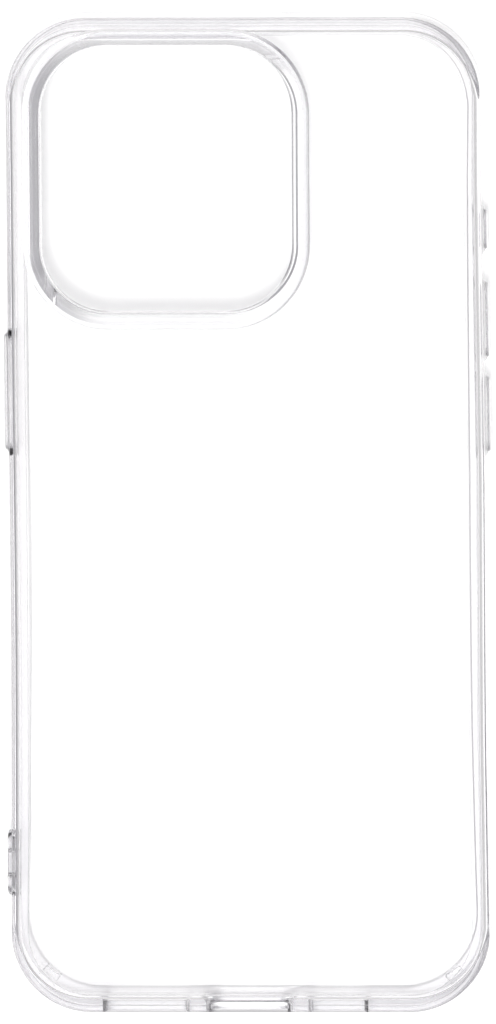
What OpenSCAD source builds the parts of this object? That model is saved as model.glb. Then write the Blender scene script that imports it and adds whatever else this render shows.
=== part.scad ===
// Clear protective case for a slab phone, lying on its front lip with its back face up.
// A hard back panel sits in a soft bumper frame. Four button covers on thin webs spring inwards.
// Millimetres. The origin is the centre of the footprint on the lip's rest plane.
// +Z points out of the back of the case and +Y points to the camera end.

/* [Phone] */
// Width of the phone that the case fits
phone_w = 70.6; // [69:0.1:73]
// Length of the phone
phone_l = 146.6; // [145:0.1:149]
// Thickness of the phone
phone_t = 8.25; // [7.8:0.05:9]
// Room left round the phone on each side
phone_gap = 0.05; // [0:0.01:0.15]

/* [Walls] */
// Thickness of the long side walls
side_wall = 0.75; // [0.7:0.05:1]
// Thickness of the top and bottom end walls
end_wall = 1.9; // [1.6:0.1:2.4]
// Thickness of the back panel
back_t = 1.2; // [1:0.1:1.6]
// Corner radius of the outside, seen from the back
outer_r = 12.3; // [11.5:0.1:13]
// Corner radius of the space for the phone, seen from the back
cavity_r = 10.9; // [10:0.1:11.5]
// Rounding of the outer edge on the back
back_edge_r = 1.5; // [1:0.1:1.6]
// Rounding of the outer edge on the lip
lip_edge_r = 0.8; // [0.5:0.1:1]
// Rounding inside the space where the wall meets the back
inner_back_r = 1.4; // [1:0.1:1.6]
// Rounding inside the space where the wall meets the lip
inner_lip_r = 0.9; // [0.5:0.1:1.2]

/* [Lip] */
// Thickness of the lip in front of the screen
lip_t = 1.2; // [1:0.1:1.5]
// Width of the lip from the outside at the middle of a long side
lip_w_middle = 2.5; // [2.3:0.1:2.8]
// Width of the lip from the outside where a long side meets its corners
lip_w_corner = 2; // [1.8:0.1:2.3]
// Width of the lip from the outside at the two ends
lip_w_end = 2.9; // [2.6:0.1:3.2]
// Corner radius of the screen opening
lip_r = 11.2; // [10:0.1:11.5]

/* [Back panel] */
// Distance from the outside to the edge of the hard panel
panel_inset = 2.6; // [2.4:0.1:2.8]

/* [Camera ring] */
// Width of the camera window
window_w = 37.8; // [36:0.1:39]
// Length of the camera window
window_l = 39.8; // [38:0.1:40]
// Corner radius of the camera window
window_r = 10; // [8:0.1:11]
// Width of the ring's foot round the window
ring_band = 2.8; // [2.6:0.1:2.8]
// Height of the ring above the back
ring_h = 1.8; // [1.4:0.1:2.2]
// Centre of the window across the case
window_x = -11.85; // [-12:0.05:-11]
// Centre of the window along the case
window_y = 50.95; // [50:0.05:51]

/* [Button covers] */
// Width of each cover across the wall's height
cover_w = 3; // [2.6:0.1:3.4]
// Height of each cover above the wall's outer face
cover_proud = 0.8; // [0.6:0.05:1]
// Rounding of each cover's outer edge
cover_edge_r = 0.5; // [0.3:0.05:0.6]
// Width of the thin web round each cover
web_w = 0.9; // [0.7:0.05:1]
// Thickness of the thin web
web_t = 0.4; // [0.3:0.05:0.45]
// Depth of the relief in the wall behind the covers
relief_depth = 0.3; // [0.2:0.05:0.35]
// Length of the action button's cover
action_len = 6; // [5:0.1:7]
// Length of each volume button's cover
volume_len = 11.3; // [10:0.1:12]
// Length of the side button's cover
side_len = 17.5; // [16:0.1:19]
// Place of the action button along the case
action_y = 42.95; // [42:0.05:44]
// Place of the volume up button along the case
volume_up_y = 29.3; // [28:0.05:30]
// Place of the volume down button along the case
volume_down_y = 15.05; // [14:0.05:16]
// Place of the side button along the case
side_y = 18.45; // [17:0.05:20]

/* [End wall cut-outs] */
// Width of the charging port cut-out
port_w = 13.1; // [12:0.1:14]
// Height of the charging port cut-out
port_h = 6.6; // [6:0.1:7]
// Height of the speaker and microphone cut-outs
grille_h = 3.4; // [3:0.1:3.8]
// Width of the speaker cut-out
speaker_w = 13.3; // [12:0.1:14]
// Place of the speaker cut-out across the case
speaker_x = -15.7; // [-16:0.1:-15]
// Width of the microphone cut-out
microphone_w = 9; // [8:0.1:10]
// Place of the microphone cut-out across the case
microphone_x = 13.3; // [13:0.1:14]

/* [Lanyard anchor] */
// Length of the raised anchor on the wall
anchor_len = 10.1; // [9:0.1:11]
// Width of the raised anchor across the wall's height
anchor_w = 4.6; // [4:0.1:5]
// Height of the anchor above the wall's outer face
anchor_proud = 0.8; // [0.6:0.05:0.8]
// Width of the bar that the strap loops round
bar_w = 3; // [2.5:0.1:3.2]
// Length of each strap slot along the wall
strap_slot_len = 2.6; // [2.2:0.1:2.8]
// Width of each strap slot across the wall's height
strap_slot_w = 2.4; // [2:0.1:2.6]
// Place of the anchor along the case
anchor_y = -52.95; // [-54:0.05:-52]

/* [Hidden] */
$fn = 64;

// How far a cutter runs past the face that it cuts
past = 1;
// Gap between a moving cover and its web
cover_gap = 0.05;
// How far a cover's inner face stays inside the wall's outer face
cover_root = 0.25;

cavity_w = phone_w + 2 * phone_gap;
cavity_l = phone_l + 2 * phone_gap;
cavity_h = phone_t + 2 * phone_gap;
case_w = cavity_w + 2 * side_wall;
case_l = cavity_l + 2 * end_wall;
back_inner_z = lip_t + cavity_h;
back_z = back_inner_z + back_t;
middle_z = lip_t + cavity_h / 2;
panel_w = case_w - 2 * panel_inset;
panel_l = case_l - 2 * panel_inset;
panel_r = outer_r - panel_inset;

// How deep the ring's foot is let into the back, so that it stands beside the flat face
foot_seat = 0.2;
foot_w = window_w + 2 * ring_band;
foot_l = window_l + 2 * ring_band;
foot_r = window_r + ring_band;

// The ring's section: how high the bevel starts and where its crest is, both from the window's edge
bevel_start_h = 0.9;
crest_from = 1.8;
crest_to = 2.1;
neck_w = 1.3;
ring_top_h = back_t + ring_h;
ring_outer_r = ring_band - crest_to;

// Recesses left by the mould in the lip's bottom corners
recess_angle = 50;
recess_len = 2.6;
recess_w = 1;
recess_depth = 0.4;
recess_from_lip = 0.95;

// Area between the axis and a wall whose outer corners are rounded below and above
module edge_profile(run, height, low_r, high_r) {
    translate([0, low_r]) square([run, height - low_r - high_r]);
    square([run - low_r, height - high_r]);
    square([run - high_r, height]);
    translate([run - low_r, low_r]) circle(low_r);
    translate([run - high_r, height - high_r]) circle(high_r);
}

// The same area on both sides of the axis
module double_profile(run, height, low_r, high_r) {
    edge_profile(run, height, low_r, high_r);
    mirror([1, 0]) edge_profile(run, height, low_r, high_r);
}

// Block with round corners in plan and rounded lower and upper edges
module rounded_block(w, l, r, height, low_r, high_r) {
    for (side = [-1, 1], end = [-1, 1])
        translate([side * (w / 2 - r), end * (l / 2 - r), 0])
            rotate_extrude() edge_profile(r, height, low_r, high_r);
    rotate([90, 0, 0])
        linear_extrude(l - 2 * r, center = true) double_profile(w / 2, height, low_r, high_r);
    rotate([90, 0, 90])
        linear_extrude(w - 2 * r, center = true) double_profile(l / 2, height, low_r, high_r);
}

// Rectangle with round corners, centred
module rounded_rectangle(w, l, r) {
    square([w - 2 * r, l], center = true);
    square([w, l - 2 * r], center = true);
    for (side = [-1, 1], end = [-1, 1])
        translate([side * (w / 2 - r), end * (l / 2 - r)]) circle(r);
}

// Slot shape with full round ends along the first axis, centred
module slot_shape(length, width) {
    square([length - width, width], center = true);
    for (end = [-1, 1])
        translate([end * (length - width) / 2, 0]) circle(width / 2);
}

// Bar with full round ends in plan and a rounded upper edge
module rounded_bar(length, width, height, edge_r) {
    half = width / 2;
    reach = (length - width) / 2;
    module section() {
        square([half, height - edge_r]);
        square([half - edge_r, height]);
        translate([half - edge_r, height - edge_r]) circle(edge_r);
    }
    intersection() {
        union() {
            for (end = [-1, 1])
                translate([end * reach, 0, 0]) rotate_extrude() section();
            rotate([90, 0, 90]) linear_extrude(2 * reach, center = true) {
                section();
                mirror([1, 0]) section();
            }
        }
        linear_extrude(height) slot_shape(length, width);
    }
}

// Puts a shape on a side wall: its first axis runs along the case and its third points out of the wall
module on_side_wall(side, y, x) {
    mirror([side < 0 ? 1 : 0, 0, 0])
        translate([x, y, middle_z]) rotate([90, 0, 90]) children();
}

// Half width of the screen opening at a place along the case: the soft lip is widest at mid-length
function lip_half_width(y, y_corner) =
    case_w / 2 - lip_w_middle + (lip_w_middle - lip_w_corner) * pow(y / y_corner, 2);

// Outline of the screen opening: bowed long sides and true arcs at the corners
module screen_outline() {
    half_w = case_w / 2 - lip_w_corner;
    half_l = case_l / 2 - lip_w_end;
    y_corner = half_l - lip_r;
    steps = 8;
    right = [for (i = [-steps:steps]) [lip_half_width(i * y_corner / steps, y_corner), i * y_corner / steps]];
    left = [for (i = [-steps:steps]) [-lip_half_width(i * y_corner / steps, y_corner), -i * y_corner / steps]];
    polygon(concat(right, left));
    square([2 * (half_w - lip_r), 2 * half_l], center = true);
    for (side = [-1, 1], end = [-1, 1])
        translate([side * (half_w - lip_r), end * y_corner]) circle(lip_r);
}

// Space that the phone fills
module phone_space() {
    translate([0, 0, lip_t])
        rounded_block(cavity_w, cavity_l, cavity_r, cavity_h, inner_lip_r, inner_back_r);
}

// Room for the hard panel in the back of the frame
module panel_space() {
    translate([0, 0, back_inner_z - past])
        linear_extrude(back_t + 2 * past) rounded_rectangle(panel_w, panel_l, panel_r);
}

// Shallow seat in the back for the foot of the camera ring
module ring_seat() {
    translate([window_x, window_y, back_z - foot_seat])
        linear_extrude(foot_seat + past) rounded_rectangle(foot_w, foot_l, foot_r);
}

// Window in a side wall that holds one cover and its web
module cover_window(side, y, len) {
    on_side_wall(side, y, cavity_w / 2 - past)
        linear_extrude(side_wall + 2 * past) slot_shape(len + 2 * web_w, cover_w + 2 * web_w);
}

// Shallow relief in the inner face of a side wall, behind one or more covers
module wall_relief(side, y_from, y_to) {
    on_side_wall(side, (y_from + y_to) / 2, cavity_w / 2 - past)
        linear_extrude(relief_depth + past)
            slot_shape(y_to - y_from + 2 * web_w, cover_w + 2 * web_w);
}

// Cut-out through the bottom end wall
module end_cutout(x, width, height) {
    translate([x, -case_l / 2 - past, middle_z])
        rotate([-90, 0, 0]) linear_extrude(end_wall + 2 * past) slot_shape(width, height);
}

// Raised anchor for a wrist strap, on the outside of the left wall
module anchor_boss() {
    on_side_wall(-1, anchor_y, case_w / 2 - relief_depth)
        rounded_bar(anchor_len, anchor_w, anchor_proud + relief_depth, cover_edge_r);
}

// Two strap slots and the groove that joins them behind the bar
module anchor_cuts() {
    for (end = [-1, 1])
        on_side_wall(-1, anchor_y + end * (bar_w + strap_slot_len) / 2, cavity_w / 2 - past)
            linear_extrude(side_wall + anchor_proud + 2 * past) slot_shape(strap_slot_len, strap_slot_w);
    on_side_wall(-1, anchor_y, cavity_w / 2 - past)
        linear_extrude(relief_depth + past)
            slot_shape(bar_w + 2 * strap_slot_len, strap_slot_w);
}

// Small recess in the front of the lip at a bottom corner
module corner_recess(side) {
    from_centre = lip_r + recess_from_lip;
    translate([side * (case_w / 2 - lip_w_corner - lip_r), -(case_l / 2 - lip_w_end - lip_r), 0])
        rotate(side > 0 ? -recess_angle : recess_angle - 180)
            translate([from_centre - recess_w / 2, -recess_len / 2, -past])
                cube([recess_w, recess_len, recess_depth + past]);
}

// Section of the camera ring: neck, foot, rounded outside, crest and bevel towards the window
module ring_section() {
    polygon([
        [0, 0],
        [neck_w, 0],
        [neck_w, back_t - foot_seat],
        [ring_band, back_t - foot_seat],
        [ring_band, ring_top_h - ring_outer_r],
        [crest_to, ring_top_h],
        [crest_from, ring_top_h],
        [0, bevel_start_h]
    ]);
    translate([crest_to, ring_top_h - ring_outer_r]) circle(ring_outer_r);
}

module back_panel() {
    color([0.93, 0.93, 0.96, 0.35])
        difference() {
            translate([0, 0, back_inner_z])
                linear_extrude(back_t) rounded_rectangle(panel_w, panel_l, panel_r);
            translate([window_x, window_y, back_inner_z - past])
                linear_extrude(back_t + 2 * past)
                    rounded_rectangle(window_w + 2 * neck_w, window_l + 2 * neck_w, window_r + neck_w);
            ring_seat();
        }
}

module bumper_frame() {
    color([0.86, 0.85, 0.92, 0.45])
        difference() {
            union() {
                rounded_block(case_w, case_l, outer_r, back_z, lip_edge_r, back_edge_r);
                anchor_boss();
            }
            phone_space();
            panel_space();
            ring_seat();
            translate([0, 0, -past]) linear_extrude(lip_t + 2 * past) screen_outline();
            cover_window(1, action_y, action_len);
            cover_window(1, volume_up_y, volume_len);
            cover_window(1, volume_down_y, volume_len);
            cover_window(-1, side_y, side_len);
            wall_relief(1, volume_down_y - volume_len / 2, volume_up_y + volume_len / 2);
            end_cutout(0, port_w, port_h);
            end_cutout(speaker_x, speaker_w, grille_h);
            end_cutout(microphone_x, microphone_w, grille_h);
            anchor_cuts();
            corner_recess(1);
            corner_recess(-1);
        }
}

module camera_ring() {
    color([0.78, 0.77, 0.88, 0.6])
        translate([window_x, window_y, back_inner_z]) {
            for (turn = [0:3])
                rotate(90 * turn)
                    translate([(turn % 2 == 0 ? window_w : window_l) / 2 - window_r,
                        (turn % 2 == 0 ? window_l : window_w) / 2 - window_r, 0])
                        rotate_extrude(angle = 90) translate([window_r, 0]) ring_section();
            for (side = [-1, 1]) {
                mirror([side < 0 ? 1 : 0, 0, 0])
                    translate([window_w / 2, 0, 0]) rotate([90, 0, 0])
                        linear_extrude(window_l - 2 * window_r, center = true) ring_section();
                mirror([0, side < 0 ? 1 : 0, 0])
                    translate([0, window_l / 2, 0]) rotate([90, 0, 90])
                        linear_extrude(window_w - 2 * window_r, center = true) ring_section();
            }
        }
}

// One button cover: a raised pad whose root sits in the wall's window
module button_cover(side, y, len) {
    color([0.88, 0.88, 0.95, 0.55])
        on_side_wall(side, y, case_w / 2 - cover_root)
            rounded_bar(len, cover_w, cover_proud + cover_root, cover_edge_r);
}

// Thin flexible web that joins a cover to the wall, flush with the wall's outer face
module button_web(side, y, len) {
    color([0.9, 0.88, 0.84, 0.5])
        on_side_wall(side, y, case_w / 2 - web_t)
            linear_extrude(web_t)
                difference() {
                    slot_shape(len + 2 * web_w, cover_w + 2 * web_w);
                    slot_shape(len + 2 * cover_gap, cover_w + 2 * cover_gap);
                }
}

module action_button_cover() { button_cover(1, action_y, action_len); }
module volume_up_button_cover() { button_cover(1, volume_up_y, volume_len); }
module volume_down_button_cover() { button_cover(1, volume_down_y, volume_len); }
module side_button_cover() { button_cover(-1, side_y, side_len); }
module action_button_web() { button_web(1, action_y, action_len); }
module volume_up_button_web() { button_web(1, volume_up_y, volume_len); }
module volume_down_button_web() { button_web(1, volume_down_y, volume_len); }
module side_button_web() { button_web(-1, side_y, side_len); }

back_panel();
bumper_frame();
camera_ring();
action_button_cover();
volume_up_button_cover();
volume_down_button_cover();
side_button_cover();
action_button_web();
volume_up_button_web();
volume_down_button_web();
side_button_web();
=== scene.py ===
"""Clear phone case lying on its lip, back face up, on a pale floor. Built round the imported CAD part, in its frame."""

import math

import bmesh
import bpy
import numpy as np
from mathutils import Matrix, Vector, noise


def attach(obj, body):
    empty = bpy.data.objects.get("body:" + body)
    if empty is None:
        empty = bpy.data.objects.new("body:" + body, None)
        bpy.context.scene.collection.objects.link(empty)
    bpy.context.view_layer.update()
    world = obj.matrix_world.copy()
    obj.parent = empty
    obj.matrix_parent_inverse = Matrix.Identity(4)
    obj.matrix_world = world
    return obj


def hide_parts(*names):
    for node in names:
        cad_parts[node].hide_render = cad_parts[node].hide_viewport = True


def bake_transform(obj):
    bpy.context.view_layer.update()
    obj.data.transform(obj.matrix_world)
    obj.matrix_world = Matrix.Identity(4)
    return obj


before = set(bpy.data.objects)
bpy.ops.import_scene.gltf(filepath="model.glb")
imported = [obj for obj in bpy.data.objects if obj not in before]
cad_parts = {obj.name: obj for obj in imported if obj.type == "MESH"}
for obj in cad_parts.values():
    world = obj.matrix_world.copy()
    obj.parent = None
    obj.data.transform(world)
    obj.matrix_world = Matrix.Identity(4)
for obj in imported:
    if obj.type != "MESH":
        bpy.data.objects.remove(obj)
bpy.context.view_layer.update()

MM = 0.001
# Without this the ripple in settle() would be a new one each time
NOISE_SEED = 7
noise.seed_set(NOISE_SEED)

# Sizes in millimetres, as in the CAD part. An x is a distance from the middle plane, and a z is a height.
CASE_HALF_W, CASE_HALF_L, CASE_R = 36.1, 75.25, 12.3
CAVITY_HALF_W, CAVITY_HALF_L, CAVITY_R = 35.35, 73.35, 10.9
LIP_HALF_L, LIP_R, LIP_BOW, LIP_T = 72.35, 11.2, 0.5, 1.2
BACK_INNER_Z, BACK_Z, MIDDLE_Z = 9.55, 10.75, 5.375
PANEL_INSET = 2.6
WINDOW_HALF_W, WINDOW_HALF_L, WINDOW_R = 18.9, 19.9, 10.0
WINDOW_X, WINDOW_Y = -11.85, 50.95
RING_FOOT_W, RING_TOP_H = 2.8, 3.0
COVER_W, COVER_TOP_X, WEB_W = 3.0, 36.9, 0.9
RELIEF_X = 35.65
ANCHOR_Y, ANCHOR_LEN, ANCHOR_W = -52.95, 10.1, 4.6
BAR_W, SLOT_LEN, SLOT_W = 3.0, 2.6, 2.4

# Sizes in millimetres that were settled against the photo. They differ a little from the CAD part's, or
# shape what it leaves plain.
LIP_HALF_W = 33.85
LIP_EDGE_R, BACK_EDGE_R, INNER_BACK_R, INNER_LIP_R = 0.45, 1.0, 0.8, 0.4
INNER_BACK_END_R = 0.6
WALL_STATIONS_Z = (2.6, 5.4, 7.6)
SEAM_D = 1.16
SEAM_GROOVE = ((-0.08, 0), (-0.03, 0.08), (0.03, 0.08), (0.08, 0))
SEAT_R = 0.03
LIP_SLOPE_W, LIP_SLOPE_H, LIP_SLOPE_R, LIP_TIP_R = 0.28, 1.14, 0.03, 0.06
LIP_SLOPE_STEP = 0.01
PANEL_EDGE_R = 0.03
NECK_W, NECK_EXTRA, NECK_R = 0.45, 0.85, 0.06
COVER_ROOT_X, COVER_EDGE_R = 35.87, 0.28
WEB_BACK_X, WEB_FACE_RISE, WEB_BACK_RISE = 35.74, 0.42, 0.46
WEB_STILL_X, WEB_BEND_W = 35.7, 0.8
ANCHOR_ROOT_X, ANCHOR_EDGE_R = 35.75, 0.7
GAP = 0.02
# Where the cutters that go through a side wall start and end
CUT_FROM_X, CUT_TO_X = 34.3, 37.5

# How the empty case is bent: how far both side walls are drawn in at mid-length, and how far each is drawn in
# beyond that, as (places along the case, amounts)
BOW = 0.25
RIGHT_PULL = ((-60, -35, 5, 25, 50, 62), (-0.38, -0.15, -0.08, 0.2, 0.62, 0.7))
LEFT_PULL = ((-20, 25), (0.25, 0.0))
RIPPLE, RIPPLE_SCALE = 0.018, 0.045
# Shrinks the meshes by less than a micron, so that rounding leaves nothing outside the CAD part's box
INSIDE = 0.999998

# name: (side, place along the case, length)
BUTTONS = {
    "action_button": (1, 42.95, 6.0),
    "volume_up_button": (1, 29.3, 11.3),
    "volume_down_button": (1, 15.05, 11.3),
    "side_button": (-1, 18.45, 17.5),
}
# (place across the case, width, height) of each cut-out in the bottom wall
END_CUTOUTS = [(0.0, 13.1, 6.6), (-15.7, 13.3, 3.4), (13.3, 9.0, 3.4)]


# ---------------------------------------------------------------- outlines

def arc(x, y, r, start, steps):
    turns = [math.radians(start + 90 * i / steps) for i in range(steps)]
    return [(x + r * math.cos(a), y + r * math.sin(a)) for a in turns]


def outline(half_w, half_l, r, bow=0.0, steps=(40, 150, 44)):
    """Rounded rectangle as points anticlockwise from the right side. bow pulls the long sides in at mid-length.
    steps are the points along a corner, a long side and a short side."""
    corner, side, end = steps
    x_c, y_c = half_w - r, half_l - r
    rise = [y_c * (2 * i / side - 1) for i in range(side)]
    run = [x_c * (1 - 2 * i / end) for i in range(end)]
    points = [(half_w - bow * (1 - (y / y_c) ** 2), y) for y in rise]
    points += arc(x_c, y_c, r, 0, corner)
    points += [(x, half_l) for x in run]
    points += arc(-x_c, y_c, r, 90, corner)
    points += [(-half_w + bow * (1 - (y / y_c) ** 2), -y) for y in rise]
    points += arc(-x_c, -y_c, r, 180, corner)
    points += [(-x, -half_l) for x in run]
    points += arc(x_c, -y_c, r, 270, corner)
    return np.array(points)


def stadium(length, width, steps=20):
    """Slot outline with round ends along the first axis."""
    r = width / 2
    least_reach = 0.0005
    reach = max(length / 2 - r, least_reach)
    points = []
    for end, start in ((1, -90), (-1, 90)):
        points += arc(end * reach, 0, r, start, steps) + arc(end * reach, 0, r, start + 90, steps)
        points.append((end * reach, end * r))
    return np.array(points)


def at_height(points, z):
    return np.column_stack([points, np.full(len(points), z)])


def fillet(points, radii, steps=5):
    """A closed 2-D polygon with each corner rounded to its own radius."""
    result = []
    count = len(points)
    for i in range(count):
        corner, r = Vector(points[i]), radii[i]
        if not r:
            result.append(tuple(corner))
            continue
        before = (Vector(points[i - 1]) - corner).normalized()
        after = (Vector(points[(i + 1) % count]) - corner).normalized()
        half = before.angle(after) / 2
        middle = corner + (before + after).normalized() * (r / math.sin(half))
        start, end = corner + before * (r / math.tan(half)), corner + after * (r / math.tan(half))
        a, b = start - middle, end - middle
        for k in range(steps + 1):
            t = k / steps
            spoke = (a * (1 - t) + b * t).normalized() * r
            result.append(tuple(middle + spoke))
    return result


def quarter(steps):
    """(1 - cos, 1 - sin) round a quarter turn."""
    turns = [math.pi / 2 * k / steps for k in range(steps + 1)]
    return [(1 - math.cos(a), 1 - math.sin(a)) for a in turns]


# ---------------------------------------------------------------- meshes

def link_mesh(name, mesh):
    obj = bpy.data.objects.new(name, mesh)
    bpy.context.scene.collection.objects.link(obj)
    return obj


def new_object(name, verts, faces):
    mesh = bpy.data.meshes.new(name)
    mesh.from_pydata([tuple(v) for v in verts], [], faces)
    obj = link_mesh(name, mesh)
    face_outwards(obj)
    return obj


def face_outwards(obj):
    bm = bmesh.new()
    bm.from_mesh(obj.data)
    bmesh.ops.remove_doubles(bm, verts=bm.verts, dist=1e-5)
    bmesh.ops.recalc_face_normals(bm, faces=bm.faces)
    if bm.calc_volume(signed=True) < 0:
        bmesh.ops.reverse_faces(bm, faces=bm.faces)
    bm.to_mesh(obj.data)
    bm.free()


def strip(n, a, b):
    """Quads between ring a and ring b of n points each."""
    return [(a * n + i, a * n + (i + 1) % n, b * n + (i + 1) % n, b * n + i) for i in range(n)]


def loop_solid(name, rings):
    """Solid round a hole: rings of matching points, the last joined to the first."""
    n, m = len(rings[0]), len(rings)
    faces = [f for k in range(m) for f in strip(n, k, (k + 1) % m)]
    return new_object(name, np.concatenate(rings), faces)


def loft(name, rings):
    """Solid through rings of matching points, closed at both ends."""
    n, m = len(rings[0]), len(rings)
    faces = [f for k in range(m - 1) for f in strip(n, k, k + 1)]
    faces += [tuple(range(n - 1, -1, -1)), tuple((m - 1) * n + i for i in range(n))]
    return new_object(name, np.concatenate(rings), faces)


def on_wall(points, side, y, x):
    """Puts points (along, across, outwards) on a side wall."""
    return np.column_stack([side * (x + points[:, 2]), y + points[:, 0], MIDDLE_Z + points[:, 1]])


def wall_ring(length, width, side, y, x):
    return on_wall(at_height(stadium(length, width), 0), side, y, x)


def wall_loft(name, side, y, sections):
    """Loft of stadium sections (length, width, x) that stands on a side wall."""
    return loft(name, [wall_ring(length, width, side, y, x) for length, width, x in sections])


def bake(obj):
    """Turns the object's modifiers into plain mesh."""
    depsgraph = bpy.context.evaluated_depsgraph_get()
    mesh = bpy.data.meshes.new_from_object(obj.evaluated_get(depsgraph))
    obj.modifiers.clear()
    obj.data = mesh


def combine(obj, tool, operation):
    change = obj.modifiers.new(operation, "BOOLEAN")
    change.operation, change.solver, change.object = operation, "EXACT", tool
    bake(obj)
    bpy.data.objects.remove(tool)


def joined(objs):
    """Several objects' meshes as one object."""
    bm = bmesh.new()
    for o in objs:
        bm.from_mesh(o.data)
        bpy.data.objects.remove(o)
    mesh = bpy.data.meshes.new("tool")
    bm.to_mesh(mesh)
    bm.free()
    return link_mesh("tool", mesh)


def settle(point):
    """Where a point of the straight case is on the bent one, with a faint ripple everywhere."""
    x, y, z = point
    pull = BOW * (1 - (y / CASE_HALF_L) ** 2)
    pull += np.interp(y, *(RIGHT_PULL if x > 0 else LEFT_PULL))
    pull *= x / CASE_HALF_W
    wave = noise.noise_vector(Vector((x, y, z)) * RIPPLE_SCALE) * RIPPLE
    fade_x, fade_y = 1 - abs(x) / 60, 1 - abs(y) / CASE_HALF_L
    return Vector((x - pull + wave.x * fade_x, y + wave.y * fade_y, z))


def finish_mesh(obj, sharp_deg=38):
    """Millimetres to metres, settled into shape, smooth with crisp edges."""
    bm = bmesh.new()
    bm.from_mesh(obj.data)
    bmesh.ops.dissolve_degenerate(bm, edges=bm.edges, dist=1e-4)
    for v in bm.verts:
        v.co = settle(v.co) * MM * INSIDE
    for f in bm.faces:
        f.smooth = True
    bm.to_mesh(obj.data)
    bm.free()
    obj.data.set_sharp_from_angle(angle=math.radians(sharp_deg))
    weights = obj.modifiers.new("weights", "WEIGHTED_NORMAL")
    weights.keep_sharp, weights.mode, weights.weight = True, "FACE_AREA", 50
    bake(obj)
    return obj


# ---------------------------------------------------------------- bumper frame

def outer(d, z):
    return at_height(outline(CASE_HALF_W - d, CASE_HALF_L - d, CASE_R - d), z)


def cavity(e, z, end_share=1.0):
    return at_height(outline(CAVITY_HALF_W - e, CAVITY_HALF_L - e * end_share, CAVITY_R - e), z)


def lip(d, z):
    return at_height(outline(LIP_HALF_W + d, LIP_HALF_L + d, LIP_R + d, LIP_BOW), z)


def frame_rings():
    """The frame's C-shaped section as rings: up the outside, over the shoulder, and down the inside to the lip."""
    back_end_share = INNER_BACK_END_R / INNER_BACK_R
    rings = [outer(LIP_EDGE_R * s, LIP_EDGE_R * c) for c, s in quarter(8)]
    rings += [outer(0, z) for z in WALL_STATIONS_Z]
    rings += [outer(BACK_EDGE_R * c, BACK_Z - BACK_EDGE_R * s) for c, s in quarter(14)]
    rings += [outer(SEAM_D + across, BACK_Z - depth) for across, depth in SEAM_GROOVE]
    rings += [outer(PANEL_INSET - SEAT_R * s, BACK_Z - SEAT_R * c) for c, s in quarter(3)]
    rings += [outer(PANEL_INSET, BACK_INNER_Z)]
    rings += [cavity(INNER_BACK_R * s, BACK_INNER_Z - INNER_BACK_R * c, back_end_share) for c, s in quarter(12)]
    rings += [cavity(INNER_LIP_R * c, LIP_T + INNER_LIP_R * s) for c, s in quarter(9)]
    rings += [lip(LIP_SLOPE_W + LIP_SLOPE_R, LIP_T),
              lip(LIP_SLOPE_W - LIP_SLOPE_STEP, LIP_T - LIP_SLOPE_R),
              lip(0, LIP_T - LIP_SLOPE_H)]
    rings += [lip(LIP_TIP_R * c, LIP_TIP_R * s) for c, s in quarter(6)]
    return rings


def flared(x, width, height):
    """Cutter for a cut-out in the bottom wall, with a rounded mouth outside and inside."""
    small_height, small_r, large_r = 5, 0.45, 0.95
    corner_share, past_out, past_in = 0.3, 1, 2.4
    r = small_r if height < small_height else large_r
    y_out, y_in = -CASE_HALF_L, -CAVITY_HALF_L
    stations = [(y_out - past_out, r)] + [(y_out + r * c, r * s) for c, s in quarter(6)]
    stations += [(y_in - r * c, r * s) for c, s in reversed(quarter(6))] + [(y_in + past_in, r)]
    rings = []
    for y, grow in stations:
        s = outline(width / 2 + grow, height / 2 + grow, height * corner_share + grow, steps=(12, 6, 8))
        rings.append(np.column_stack([x + s[:, 0], np.full(len(s), y), MIDDLE_Z + s[:, 1]]))
    return loft("tool", rings)


def corner_recess(side):
    """Cutter for the shallow recess in the front of the lip at a bottom corner."""
    half_across, half_along, corner_r = 0.5, 1.3, 0.3
    from_opening = 0.95
    levels = ((-0.5, 1.1), (0.0, 1.06), (0.3, 0.98), (0.4, 0.8))
    shape = outline(half_across, half_along, corner_r, steps=(5, 4, 3))
    turn = Matrix.Rotation(math.radians(-50 if side > 0 else -130), 2)
    centre = Vector((side * (LIP_HALF_W - LIP_R), -(LIP_HALF_L - LIP_R)))
    rings = []
    for z, grow in levels:
        ring = [centre + turn @ Vector((LIP_R + from_opening + p[0] * grow, p[1] * grow)) for p in shape]
        rings.append([(p.x, p.y, z) for p in ring])
    return loft("tool", np.array(rings))


def through_cutters():
    """Everything that goes through a wall, and the lip's two recesses."""
    tools = []
    for side, y, length in BUTTONS.values():
        window = [(length + 2 * WEB_W, COVER_W + 2 * WEB_W, x) for x in (CUT_FROM_X, CUT_TO_X)]
        tools.append(wall_loft("tool", side, y, window))
    tools += [flared(*c) for c in END_CUTOUTS]
    tools += [corner_recess(1), corner_recess(-1)]
    # (x, growth) of a strap slot, which flares at its mouth
    mouth = [(CUT_FROM_X, 0), (36.5, 0), (36.7, 0.04), (36.84, 0.14), (36.95, 0.3), (37.4, 0.4)]
    for end in (-1, 1):
        y = ANCHOR_Y + end * (BAR_W + SLOT_LEN) / 2
        tools.append(wall_loft("tool", -1, y, [(SLOT_LEN + 2 * g, SLOT_W + 2 * g, x) for x, g in mouth]))
    return tools


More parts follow.
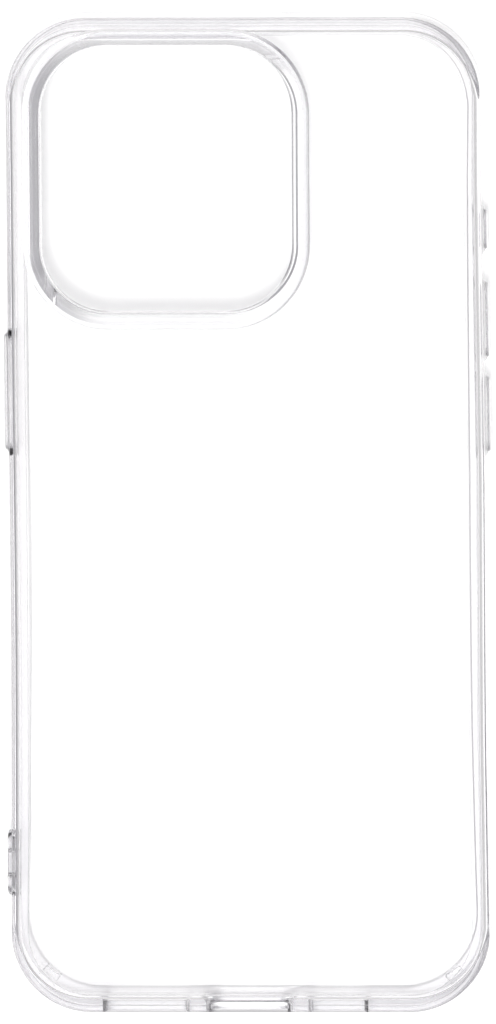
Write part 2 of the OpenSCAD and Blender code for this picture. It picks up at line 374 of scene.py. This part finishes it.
def relief_cutters():
    """The relief inside the wall behind the two volume buttons, and the groove behind the anchor's bar."""
    _, low_y, low_len = BUTTONS["volume_down_button"]
    _, high_y, high_len = BUTTONS["volume_up_button"]
    low = low_y - low_len / 2 - WEB_W
    high = high_y + high_len / 2 + WEB_W
    levels = ((CUT_FROM_X, 0.2), (35.4, 0.12), (RELIEF_X, -0.1))
    relief = [(high - low + 2 * g, COVER_W + 2 * WEB_W + 2 * g, x) for x, g in levels]
    groove = [(BAR_W + 2 * SLOT_LEN, SLOT_W, x) for x in (CUT_FROM_X, RELIEF_X)]
    return [wall_loft("tool", 1, (low + high) / 2, relief), wall_loft("tool", -1, ANCHOR_Y, groove)]


def build_frame():
    obj = loop_solid("bumper_frame_clear", frame_rings())
    boss = rounded_pad(ANCHOR_LEN, ANCHOR_W, ANCHOR_ROOT_X, COVER_TOP_X, ANCHOR_EDGE_R)
    combine(obj, wall_loft("boss", -1, ANCHOR_Y, boss), "UNION")
    combine(obj, joined(through_cutters()), "DIFFERENCE")
    combine(obj, joined(relief_cutters()), "DIFFERENCE")
    return obj


# ---------------------------------------------------------------- panel, ring, covers and webs

def widened(ring):
    """The neck's outline, which is wider on the side towards the middle of the case."""
    across = np.clip(ring[:, :1] / WINDOW_HALF_W, 0, None)
    return ring + across ** 2 * np.array([NECK_EXTRA, 0, 0])


def at_window(ring):
    return ring + np.array([WINDOW_X, WINDOW_Y, 0])


def plate_edge(half_w, half_l, radius, inward, steps):
    """Rings from the panel's inner face to its outer face, rounded at both."""
    r = PANEL_EDGE_R
    heights = [(BACK_INNER_Z + r * c, inward * r * s) for c, s in quarter(3)]
    heights += [(BACK_Z - r * c, inward * r * s) for c, s in reversed(quarter(3))]
    return [at_height(outline(half_w - g, half_l - g, radius - g, steps=steps), z) for z, g in heights]


def build_panel():
    """Plate with a window. Its faces are filled, and its edges are slightly rounded."""
    wide = NECK_W + GAP
    outside = plate_edge(CASE_HALF_W - PANEL_INSET - GAP, CASE_HALF_L - PANEL_INSET - GAP,
                         CASE_R - PANEL_INSET - GAP, 1, (40, 150, 44))
    inside = plate_edge(WINDOW_HALF_W + wide, WINDOW_HALF_L + wide, WINDOW_R + wide, -1, (48, 30, 26))
    inside = [at_window(widened(ring)) for ring in inside]
    bm = bmesh.new()
    ends = {0: [], len(outside) - 1: []}
    for rings in (outside, inside):
        made = [[bm.verts.new(p) for p in ring] for ring in rings]
        for lower, upper in zip(made, made[1:]):
            for i in range(len(lower)):
                j = (i + 1) % len(lower)
                bm.faces.new((lower[i], lower[j], upper[j], upper[i]))
        for k in ends:
            ring = made[k]
            ends[k] += [bm.edges.get((ring[i], ring[(i + 1) % len(ring)])) for i in range(len(ring))]
    for loop in ends.values():
        bmesh.ops.triangle_fill(bm, use_beauty=True, use_dissolve=False, edges=loop)
    bmesh.ops.recalc_face_normals(bm, faces=bm.faces)
    mesh = bpy.data.meshes.new("back_panel_clear")
    bm.to_mesh(mesh)
    bm.free()
    obj = link_mesh("back_panel_clear", mesh)
    face_outwards(obj)
    return obj


def build_ring():
    """The camera ring: a neck in the panel's window, a foot on the back, a crest and a bevel down to the window."""
    foot = BACK_Z - BACK_INNER_Z + 0.01
    tiny = 0.0001
    # (distance from the window, height, rounding) of each corner of the section
    corners = [(0.06, 0, 0.03), (NECK_W, 0, NECK_R), (NECK_W, foot, 0), (RING_FOOT_W, foot, 0.05),
               (2.5, RING_TOP_H, 0.2), (1.9, RING_TOP_H, 0.1), (0.4, 1.55, 0.12), (0.06, 0.1, 0.04)]
    section = fillet([c[:2] for c in corners], [c[2] for c in corners], 7)
    rings = []
    for u, h in section:
        shape = outline(WINDOW_HALF_W + u, WINDOW_HALF_L + u, WINDOW_R + u, steps=(48, 16, 14))
        ring = at_height(shape, BACK_INNER_Z + h)
        on_neck = NECK_W - NECK_R - 0.01 < u <= NECK_W + tiny and h < foot + tiny
        rings.append(at_window(widened(ring) if on_neck else ring))
    return loop_solid("camera_ring_clear", rings)


def rounded_pad(length, width, root, top, r, crown=0.07):
    """Stadium sections (length, width, x) of a pad with a rounded edge and a slight crown."""
    draw, flat, steps = 0.08, 0.05, 5
    sections = [(length - 2 * draw, width - 2 * draw, root), (length, width, root + draw)]
    shoulder = top - crown
    sections += [(length - 2 * r * c, width - 2 * r * c, shoulder - r * s) for c, s in quarter(9)]
    reach = width / 2 - flat
    for k in range(1, steps + 1):
        d = r + (reach - r) * k / steps
        sections.append((length - 2 * d, width - 2 * d, shoulder + crown * (1 - (1 - k / steps) ** 2)))
    return sections


def build_web(name, side, y, length):
    """Sloping skirt from the wall's window up to the pad."""
    steps = 8
    rise = [(k / steps, (k / steps) ** 2 * (3 - 2 * k / steps)) for k in range(steps + 1)]
    wide, narrow = WEB_W - GAP, GAP
    face = [(wide + (narrow - wide) * t, CASE_HALF_W + WEB_FACE_RISE * s) for t, s in rise]
    back = [(wide + (narrow - wide) * t, WEB_BACK_X + WEB_BACK_RISE * s) for t, s in reversed(rise)]
    return loop_solid(name, [wall_ring(length + 2 * g, COVER_W + 2 * g, side, y, x) for g, x in face + back])


# ---------------------------------------------------------------- materials

def node(tree, kind, **values):
    """A new node. Each value is a link from an output, an input's value or a setting of the node."""
    made = tree.nodes.new(kind)
    for key, value in values.items():
        if isinstance(value, bpy.types.NodeSocket):
            tree.links.new(value, made.inputs[key])
        elif key in made.inputs:
            made.inputs[key].default_value = value
        else:
            setattr(made, key, value)
    return made


def mapped_noise(tree, coords, scale, detail, stretch=(1, 1, 1)):
    mapping = node(tree, "ShaderNodeMapping", Vector=coords, Scale=stretch)
    made = node(tree, "ShaderNodeTexNoise", Vector=mapping.outputs["Vector"], Scale=scale, Detail=detail)
    return made.outputs["Fac"]


def spread(tree, value, low, high, start=0.3, end=0.7):
    """Maps value from start..end to low..high."""
    made = node(tree, "ShaderNodeMapRange", Value=value)
    made.inputs["From Min"].default_value, made.inputs["From Max"].default_value = start, end
    made.inputs["To Min"].default_value, made.inputs["To Max"].default_value = low, high
    return made.outputs["Result"]


def product(tree, a, b):
    made = node(tree, "ShaderNodeMath", operation="MULTIPLY")
    tree.links.new(a, made.inputs[0])
    tree.links.new(b, made.inputs[1])
    return made.outputs[0]


def mixed(tree, factor, a, b):
    """A colour from a to b. Each is an output, or red, green and blue."""
    made = node(tree, "ShaderNodeMix", data_type="RGBA")
    tree.links.new(factor, made.inputs["Factor"])
    for name, value in (("A", a), ("B", b)):
        if isinstance(value, bpy.types.NodeSocket):
            tree.links.new(value, made.inputs[name])
        else:
            made.inputs[name].default_value = (*value, 1)
    return made.outputs["Result"]


def separate(tree, vector):
    return node(tree, "ShaderNodeSeparateXYZ", Vector=vector).outputs


def anti_stick_dots(tree, coords, depth, normal):
    """A grid of tiny domes on the face towards the phone, as a bump."""
    pitch = 0.00038
    cells = node(tree, "ShaderNodeTexVoronoi", Vector=coords, Scale=1 / pitch, Randomness=0.0,
                 voronoi_dimensions="2D")
    domes = spread(tree, cells.outputs["Distance"], 1.0, 0.0, 0.12, 0.3)
    inside = node(tree, "ShaderNodeMath", operation="LESS_THAN")
    inside.inputs[1].default_value = (BACK_INNER_Z + 0.05) * MM
    tree.links.new(separate(tree, coords)["Z"], inside.inputs[0])
    domes = product(tree, domes, inside.outputs[0])
    bump = node(tree, "ShaderNodeBump", Strength=1.0, Distance=depth, Height=domes, Normal=normal)
    return bump.outputs["Normal"]


def clear_plastic(name, ior, tint, shade, haze, absorb, density, ripple, shadow, through, dots=0.0):
    """Clear plastic. Flow ripples of height ripple and fine rubbing bend its surface. Its colour goes from tint to
    shade where the flow shows, which is its own tone, and more so towards the port end, which is painted shade. haze
    is the range of its roughness. absorb and density colour its depth. It lets diffuse and shadow rays through, at
    through face on and shadow edge on. dots is the height of anti-stick dots."""
    mat = bpy.data.materials.new(name)
    mat.use_nodes = True
    tree = mat.node_tree
    tree.nodes.clear()
    coords = node(tree, "ShaderNodeTexCoord").outputs["Object"]
    flow = mapped_noise(tree, coords, 70, 3, (1.6, 0.7, 1.6))
    haze_noise = mapped_noise(tree, coords, 260, 5)
    rubbing = mapped_noise(tree, coords, 900, 2, (3.2, 0.25, 1.0))
    along = separate(tree, coords)["Y"]
    # Flow mottling, the plastic's own tone, times a darkening towards the port end that is painted shade
    flow_tone_and_painted_shade = product(tree, spread(tree, flow, 0.0, 1.0), spread(tree, along, 1.0, 0.2, -0.055, 0.0))
    flow_bump = node(tree, "ShaderNodeBump", Strength=1.0, Distance=ripple, Height=flow)
    rub_bump = node(tree, "ShaderNodeBump", Strength=0.5, Distance=ripple * 0.04, Height=rubbing,
                    Normal=flow_bump.outputs["Normal"])
    normal = rub_bump.outputs["Normal"]
    if dots:
        normal = anti_stick_dots(tree, coords, dots, normal)
    shader = node(tree, "ShaderNodeBsdfPrincipled", IOR=ior, Normal=normal)
    shader.inputs["Transmission Weight"].default_value = 1.0
    tree.links.new(mixed(tree, flow_tone_and_painted_shade, tint, shade), shader.inputs["Base Color"])
    tree.links.new(spread(tree, haze_noise, *haze, 0.35, 0.75), shader.inputs["Roughness"])
    facing = node(tree, "ShaderNodeLayerWeight", Blend=0.5).outputs["Facing"]
    dimming = mixed(tree, spread(tree, facing, 0.0, 1.0, 0.25, 0.85), (through,) * 3, shadow)
    let_through = node(tree, "ShaderNodeBsdfTransparent", Color=dimming)
    path = node(tree, "ShaderNodeLightPath")
    for ray in ("Is Diffuse Ray", "Is Shadow Ray"):
        mix = node(tree, "ShaderNodeMixShader")
        tree.links.new(path.outputs[ray], mix.inputs[0])
        tree.links.new(shader.outputs[0], mix.inputs[1])
        tree.links.new(let_through.outputs[0], mix.inputs[2])
        shader = mix
    volume = node(tree, "ShaderNodeVolumeAbsorption", Color=(*absorb, 1), Density=density)
    node(tree, "ShaderNodeOutputMaterial", Surface=shader.outputs[0], Volume=volume.outputs[0])
    return mat


HARD = dict(ior=1.58, tint=(1.0, 1.0, 1.0), shade=(0.992, 0.992, 0.997), haze=(0.004, 0.016),
            absorb=(0.90, 0.895, 0.94), density=14.0, ripple=0.000004, shadow=(0.95, 0.948, 0.96), through=0.87)
SOFT = dict(ior=1.5, tint=(1.0, 0.998, 1.0), shade=(0.985, 0.982, 0.992), haze=(0.01, 0.045),
            absorb=(0.85, 0.83, 0.875), density=16.0, ripple=0.000006, shadow=(0.88, 0.873, 0.9), through=0.95)
# The hard plastic's darker shade colour is painted shade, reached towards the port end and mottled by the flow
hard_clear = clear_plastic("hard clear", **{**HARD, "shade": (0.94, 0.936, 0.942)}, dots=0.00001)
soft_clear = clear_plastic("soft clear", **SOFT)
ring_clear = clear_plastic("ring clear", **{**HARD, "shade": (0.98, 0.978, 0.99), "absorb": (0.78, 0.765, 0.86),
                                            "density": 70.0, "through": 0.985, "ripple": 0.000001})
cover_clear = clear_plastic("cover clear", **SOFT)
web_clear = clear_plastic("web clear", **{**SOFT, "absorb": (0.86, 0.83, 0.80), "haze": (0.02, 0.07)})


# ---------------------------------------------------------------- the case

def place(obj, material, slot, *nodes):
    obj.data.materials.clear()
    obj.data.materials.append(material)
    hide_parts(*nodes)
    return obj


def web_span(side, y):
    """Where a web starts to move and where it moves with its cover, across the wall as it is bent there."""
    root, ahead, behind = (settle(Vector((side * WEB_STILL_X, y + d, MIDDLE_Z))) for d in (0, 2, -2))
    outwards = (ahead - behind).cross(Vector((0, 0, side))).normalized()
    return root * MM, (root + outwards * WEB_BEND_W) * MM


frame_obj = place(finish_mesh(build_frame()), soft_clear, "soft_clear", "bumper_frame")
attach(frame_obj, "case")

panel = place(finish_mesh(build_panel()), hard_clear, "hard_clear", "back_panel")
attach(panel, "case")

ring = place(finish_mesh(build_ring()), ring_clear, "ring_clear", "camera_ring")
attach(ring, "case")

for button, (side, y, length) in BUTTONS.items():
    pad_sections = rounded_pad(length, COVER_W, COVER_ROOT_X, COVER_TOP_X, COVER_EDGE_R)
    pad = wall_loft(f"{button}_cover_clear", side, y, pad_sections)
    place(finish_mesh(pad), cover_clear, "cover_clear", f"{button}_cover")
    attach(pad, button)
    web = build_web(f"{button}_web_clear", side, y, length)
    place(finish_mesh(web), web_clear, "web_clear", f"{button}_web")
    start, end = web_span(side, y)
    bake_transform(web)


# ---------------------------------------------------------------- floor, light and camera

def floor_material():
    """Pale satin floor that mirrors the softbox, so that it shows white from above."""
    mat = bpy.data.materials.new("pale floor")
    mat.use_nodes = True
    tree = mat.node_tree
    shader = tree.nodes["Principled BSDF"]
    coords = node(tree, "ShaderNodeTexCoord").outputs["Object"]
    grain = spread(tree, mapped_noise(tree, coords, 9, 4), 0.0, 1.0)
    tree.links.new(mixed(tree, grain, (0.9, 0.9, 0.9), (0.89, 0.89, 0.892)), shader.inputs["Base Color"])
    shader.inputs["Roughness"].default_value = 0.28
    shader.inputs["Metallic"].default_value = 0.7
    return mat


def studio_world():
    """A bright sky overhead, dimmer towards -X and +Y and lower down, and paler again at the horizon. Clear walls
    show the dim part as thin lines."""
    world = bpy.data.worlds.new("studio")
    world.use_nodes = True
    tree = world.node_tree
    up = separate(tree, node(tree, "ShaderNodeTexCoord").outputs["Generated"])
    height = spread(tree, up["Z"], 0.0, 1.0, 0.4, 0.66)
    open_side = spread(tree, up["X"], 0.0, 1.0, -0.42, -0.2)
    open_end = spread(tree, up["Y"], 1.0, 0.5, 0.3, 0.55)
    open_sky = product(tree, height, product(tree, open_side, open_end))
    low_sky = mixed(tree, open_side, (0.16, 0.153, 0.18), (0.36, 0.352, 0.37))
    horizon = mixed(tree, spread(tree, up["Z"], 0.0, 1.0, 0.25, 0.6), (0.58, 0.575, 0.585), low_sky)
    sky = mixed(tree, open_sky, horizon, (0.85, 0.847, 0.84))
    tree.links.new(sky, tree.nodes["Background"].inputs["Color"])
    return world


FLOOR_HALF, FLOOR_DROP = 15.0, 0.00003
floor = new_object("floor", [(-FLOOR_HALF, -FLOOR_HALF, 0), (FLOOR_HALF, -FLOOR_HALF, 0),
                             (FLOOR_HALF, FLOOR_HALF, 0), (-FLOOR_HALF, FLOOR_HALF, 0)], [(0, 1, 2, 3)])
floor.location.z = -FLOOR_DROP
floor.data.materials.append(floor_material())

SOFTBOX_SIZE, SOFTBOX_WATTS, SOFTBOX_PLACE = 4.8, 66, (1.4, -1.1, 4.2)
lamp_data = bpy.data.lights.new("softbox", "AREA")
lamp_data.shape, lamp_data.size, lamp_data.size_y = "RECTANGLE", SOFTBOX_SIZE, SOFTBOX_SIZE
lamp_data.energy = SOFTBOX_WATTS
lamp = bpy.data.objects.new("softbox", lamp_data)
lamp.location = SOFTBOX_PLACE
bpy.context.scene.collection.objects.link(lamp)

scene = bpy.context.scene
scene.world = studio_world()
scene.view_settings.view_transform = "Standard"
scene.cycles.max_bounces = 64
scene.cycles.transmission_bounces = 64
scene.cycles.glossy_bounces = 32
scene.cycles.diffuse_bounces = 3
scene.cycles.transparent_max_bounces = 48
scene.cycles.caustics_reflective = False
scene.cycles.caustics_refractive = False

# The photo is taken almost square on to the back, from a little to the right and towards the camera end
LENS, SENSOR_W, DISTANCE = 700.0, 36.0, 3.0
ACROSS_DEG, ALONG_DEG, ROLL_DEG = 2.2, 6.0, -0.25
TARGET = Vector((0.0, 0.00016, 0.0054))
toward = Vector((math.tan(math.radians(ACROSS_DEG)), math.tan(math.radians(ALONG_DEG)), 1.0)).normalized()
camera_data = bpy.data.cameras.new("camera")
camera_data.lens, camera_data.sensor_width, camera_data.sensor_fit = LENS, SENSOR_W, "AUTO"
camera = bpy.data.objects.new("camera", camera_data)
right = Vector((0, 1, 0)).cross(toward).normalized()
pose = Matrix((right, toward.cross(right), toward)).transposed()
roll = Matrix.Rotation(math.radians(ROLL_DEG), 3, toward)
camera.matrix_world = Matrix.Translation(TARGET + toward * DISTANCE) @ (roll @ pose).to_4x4()
scene.collection.objects.link(camera)
scene.camera = camera
